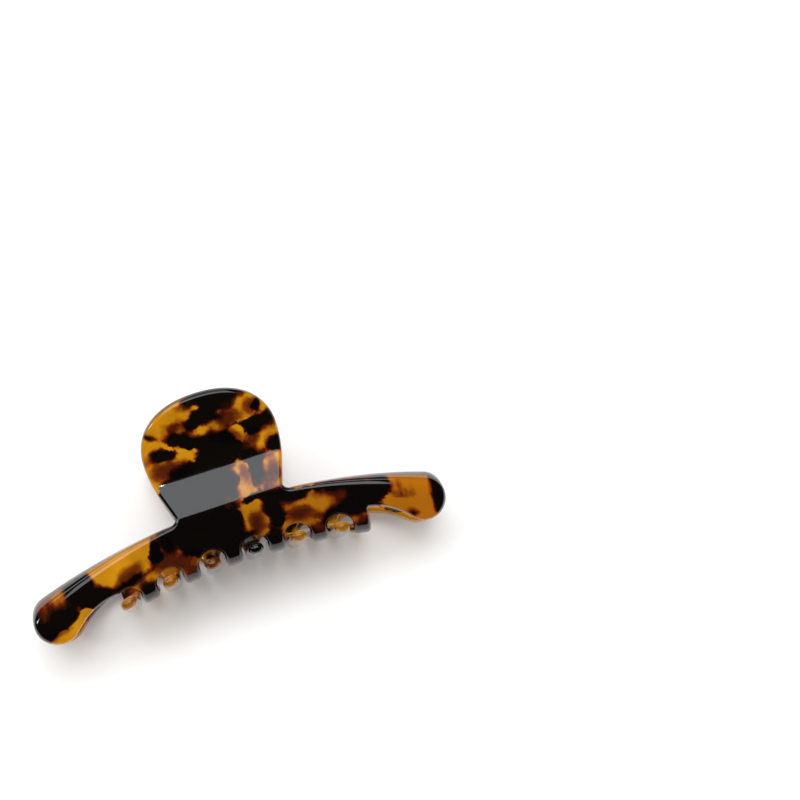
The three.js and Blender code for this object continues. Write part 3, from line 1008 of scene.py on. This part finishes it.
jawAcetate = acetateMaterial("tortoise acetate", acetate["jawClearness"])
earAcetate = acetateMaterial("ear acetate", acetate["earClearness"])
dress(frontJaw, jawAcetate)
dress(rearJaw, jawAcetate)
for made in ears:
    dress(made, earAcetate)
pinSteel = steelMaterial("bright pin steel", steel["pinTint"], steel["pinGloss"], steel["pinDrawn"])
springSteel = steelMaterial("spring steel", steel["springTint"], steel["springGloss"], steel["springDrawn"])
dress(hingePin, pinSteel)
dress(torsionSpring, springSteel)
print("materials made")


# table, light and camera
studio = {
    "floorSize": 6.0,
    "floorColor": (0.9, 0.875, 0.84),
    "floorGlow": 0.1,
    "surround": 0.03,  # seen in the gloss
    "dome": 0.3,  # soft light from all round
    "backdrop": 1.0,
    "lampColor": (0.94, 0.97, 1.0),
}


def makeFloor():
    half = studio["floorSize"] / 2
    corners = [(-half, -half, 0), (half, -half, 0), (half, half, 0), (-half, half, 0)]
    floor = makeObject("table_top", corners, [(0, 1, 2, 3)])
    material, tree, skin = newMaterial("white table")
    setInputs(skin, **{"Base Color": (*studio["floorColor"], 1), "Roughness": 0.6,
                       "Specular IOR Level": 0.2, "Emission Color": (1, 1, 1, 1),
                       "Emission Strength": studio["floorGlow"]})
    dress(floor, material)


def makeWorld():
    world = bpy.data.worlds.new("studio")
    bpy.context.scene.world = world
    world.use_nodes = True
    tree = world.node_tree
    shade = tree.nodes["Background"]
    path = node(tree, "ShaderNodeLightPath")
    extra = studio["backdrop"] - studio["surround"]
    brightness = calc(tree, "MULTIPLY", path.outputs["Is Camera Ray"], extra)
    dome = calc(tree, "MULTIPLY", path.outputs["Is Diffuse Ray"], studio["dome"])
    total = calc(tree, "ADD", calc(tree, "ADD", brightness, dome), studio["surround"])
    tree.links.new(total, shade.inputs["Strength"])
    shade.inputs["Color"].default_value = (1, 1, 1, 1)


# name, place, aims at, width, height, brightness, seen in the gloss
lamps = [
    ("overhead softbox", (0, 0.16, 0.72), (0, 0.16, 0), 0.9, 0.52, 2.2, True),
    ("front fill", (0, -0.45, 0.75), (0, 0, 0.02), 0.7, 0.5, 0.4, False),
    ("back fill", (0, 0.34, 0.8), (0, 0, 0.02), 0.8, 0.5, 2.0, False),
    ("catch light", (-0.037, -0.105, 0.72), (0, 0, 0.03), 0.006, 0.02, 70, True),
    ("back strip", (0, 0.75, 0.5), (0, 0, 0.02), 1.0, 0.14, 3.0, True),
    ("left lamp", (-0.55, 0.12, 0.42), (0, 0, 0.02), 0.12, 0.12, 14.0, True),
    ("right lamp", (0.75, -0.1, 0.5), (0, 0, 0.02), 0.25, 0.25, 4.0, False),
]


def makeLamp(name, place, aim, width, height, brightness, inGloss):
    light = bpy.data.lights.new(name, "AREA")
    light.shape = "RECTANGLE"
    light.size = width
    light.size_y = height
    light.color = studio["lampColor"]
    light.energy = brightness * math.pi * width * height
    obj = bpy.data.objects.new(name, light)
    bpy.context.scene.collection.objects.link(obj)
    obj.location = place
    obj.rotation_euler = (Vector(aim) - Vector(place)).to_track_quat("-Z", "Y").to_euler()
    obj.visible_glossy = inGloss


camera = {
    "place": (-0.0106, -0.0878, 0.3300),
    "aim": (0.0516, 0.0069, 0.0202),
    "roll": 13.9,
    "lens": 55.6,
    "sensor": 36,
    "nearest": 0.01,
}


def makeCamera():
    data = bpy.data.cameras.new("camera")
    data.lens = camera["lens"]
    data.sensor_width = camera["sensor"]
    data.clip_start = camera["nearest"]
    obj = bpy.data.objects.new("camera", data)
    bpy.context.scene.collection.objects.link(obj)
    forward = Vector(camera["aim"]) - Vector(camera["place"])
    level = forward.to_track_quat("-Z", "Y").to_matrix().to_4x4()
    turn = Matrix.Rotation(math.radians(camera["roll"]), 4, "Z")
    obj.matrix_world = Matrix.Translation(camera["place"]) @ level @ turn
    bpy.context.scene.camera = obj


makeFloor()
makeWorld()
for lamp in lamps:
    makeLamp(*lamp)
makeCamera()
bpy.context.scene.view_settings.view_transform = "Standard"
print("studio made")
